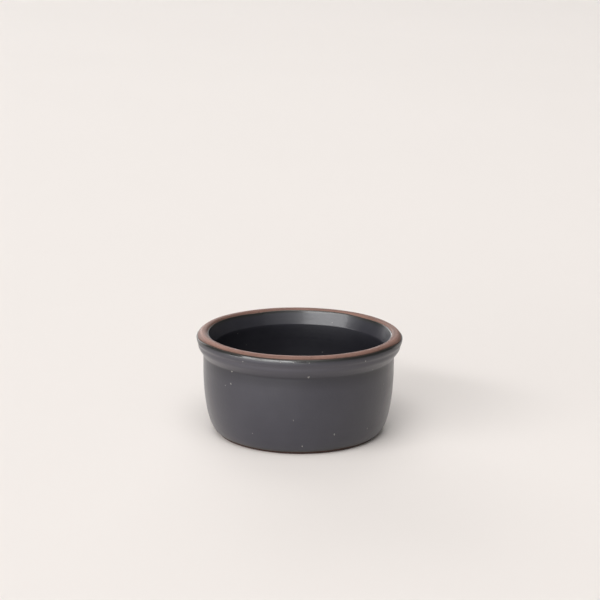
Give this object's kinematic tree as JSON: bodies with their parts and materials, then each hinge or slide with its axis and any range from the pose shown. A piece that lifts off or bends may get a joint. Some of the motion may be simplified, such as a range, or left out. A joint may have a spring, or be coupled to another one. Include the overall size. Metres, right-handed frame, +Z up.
{
  "type": "ramekin",
  "caption": "Round straight-sided stoneware ramekin with a bare rolled rim, a collar, dark satin glaze inside and out, and a bare foot ring.",
  "frame": {"origin": "centre of the foot's underside, on the surface that the ramekin stands on", "axes": "+Z up along the turning axis, out of the mouth; X and Y are alike because the pot is round"},
  "size_m": [0.102, 0.102, 0.051],
  "materials": {
    "bare_clay": "unglazed fired brown stoneware, matte, fine grain",
    "dark_glaze": "charcoal satin glaze with a few pale flecks"
  },
  "bodies": {
    "root": {"clay_body": "bare_clay", "inner_glaze": "dark_glaze", "outer_glaze": "dark_glaze", "base_glaze": "dark_glaze"}
  },
  "joints": []
}
